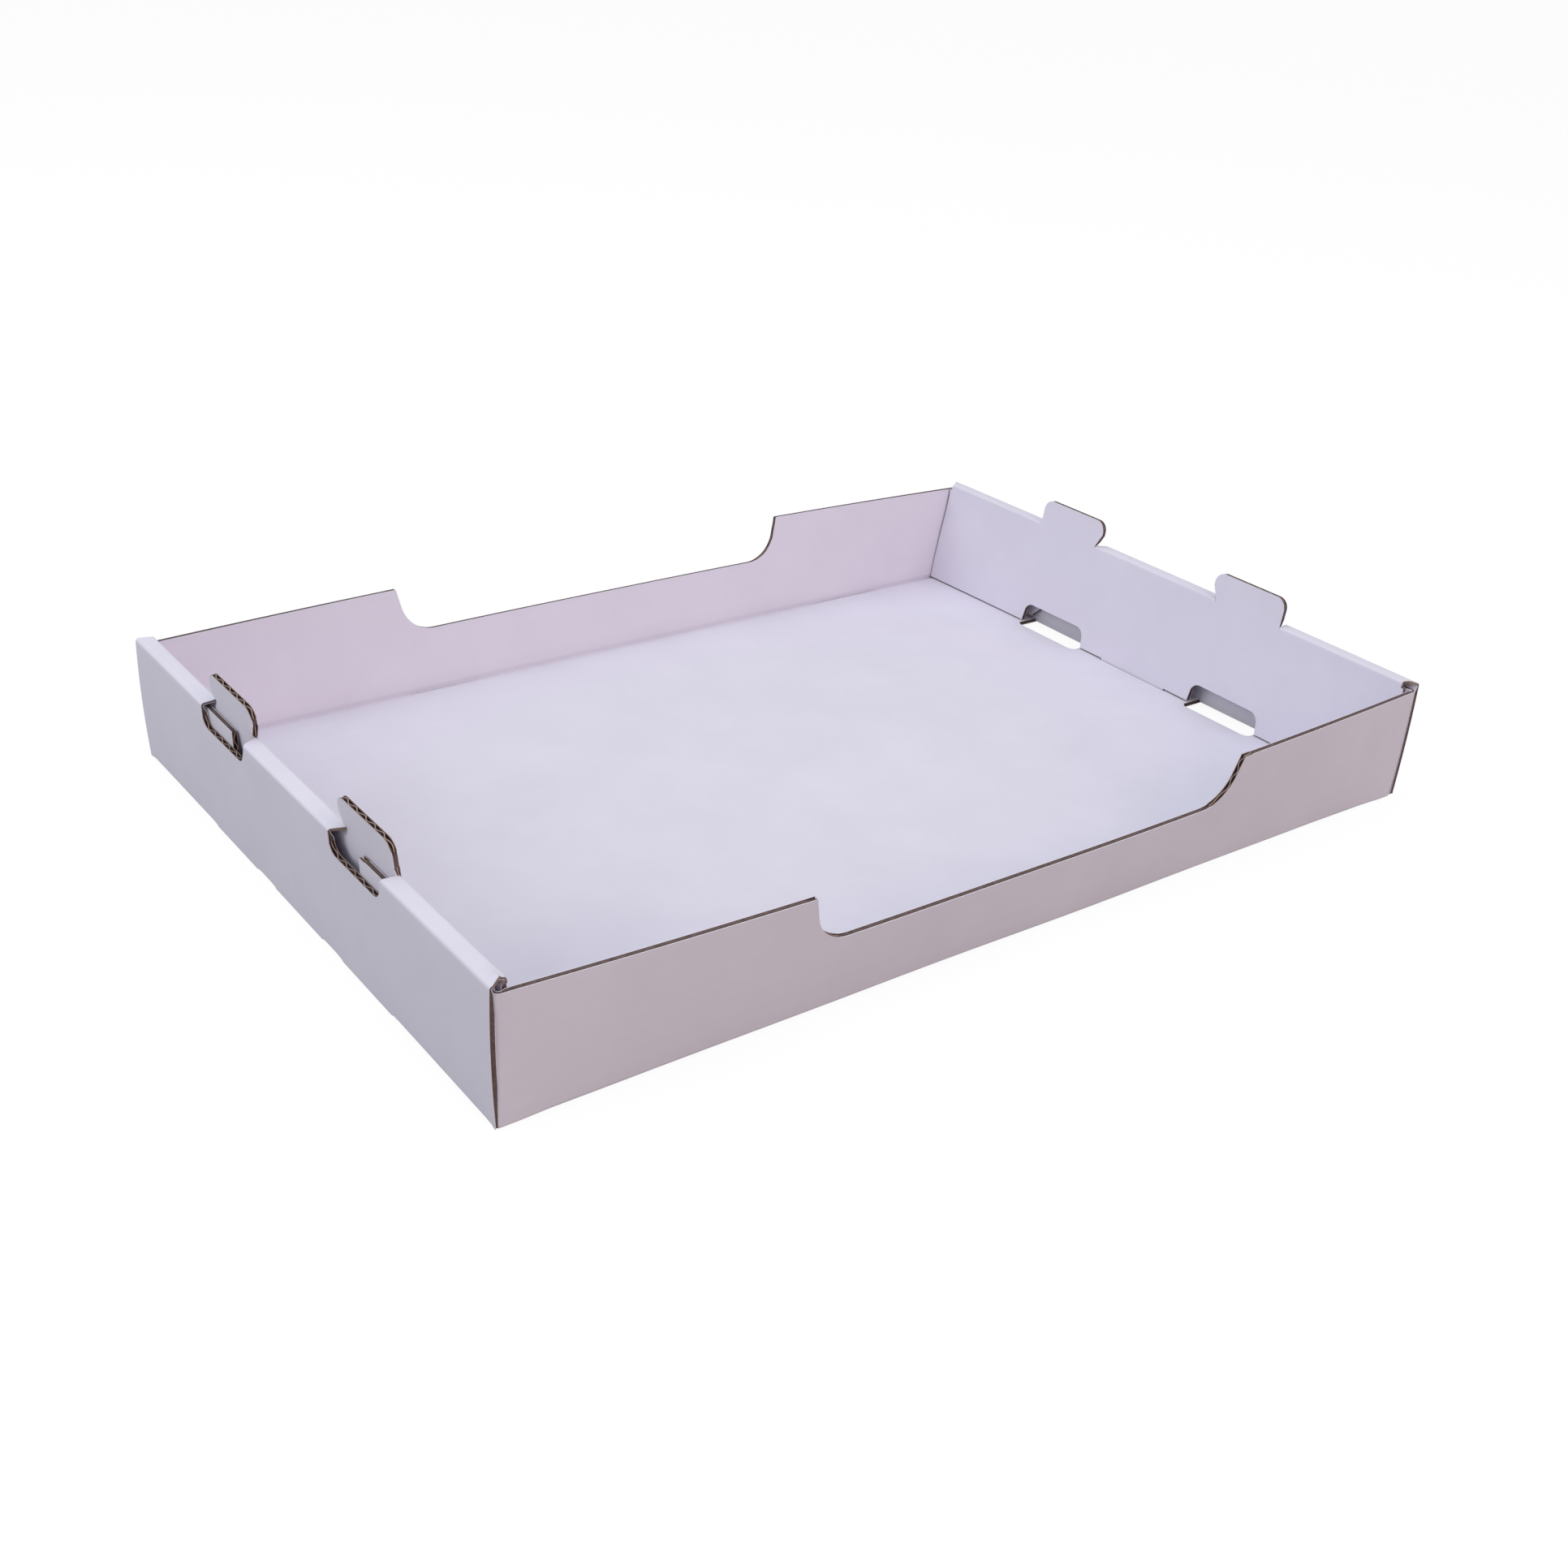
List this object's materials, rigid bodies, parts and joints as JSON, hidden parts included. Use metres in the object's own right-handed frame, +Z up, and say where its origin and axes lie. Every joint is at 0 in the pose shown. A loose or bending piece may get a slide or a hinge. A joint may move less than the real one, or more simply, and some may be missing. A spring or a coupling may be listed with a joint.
{
  "type": "corrugated tray box",
  "caption": "Shallow open-topped tray folded from one sheet of corrugated board, with double roll-over end walls, stacking tabs and slots, and long walls lowered in the middle.",
  "frame": {"origin": "middle of the underside of the floor", "axes": "+X along the long walls, +Y across the tray, +Z up out of the open top"},
  "size_m": [0.4052, 0.2844, 0.0603],
  "materials": {
    "board": "matte"
  },
  "bodies": {
    "root": {"tray": "board"}
  },
  "joints": []
}
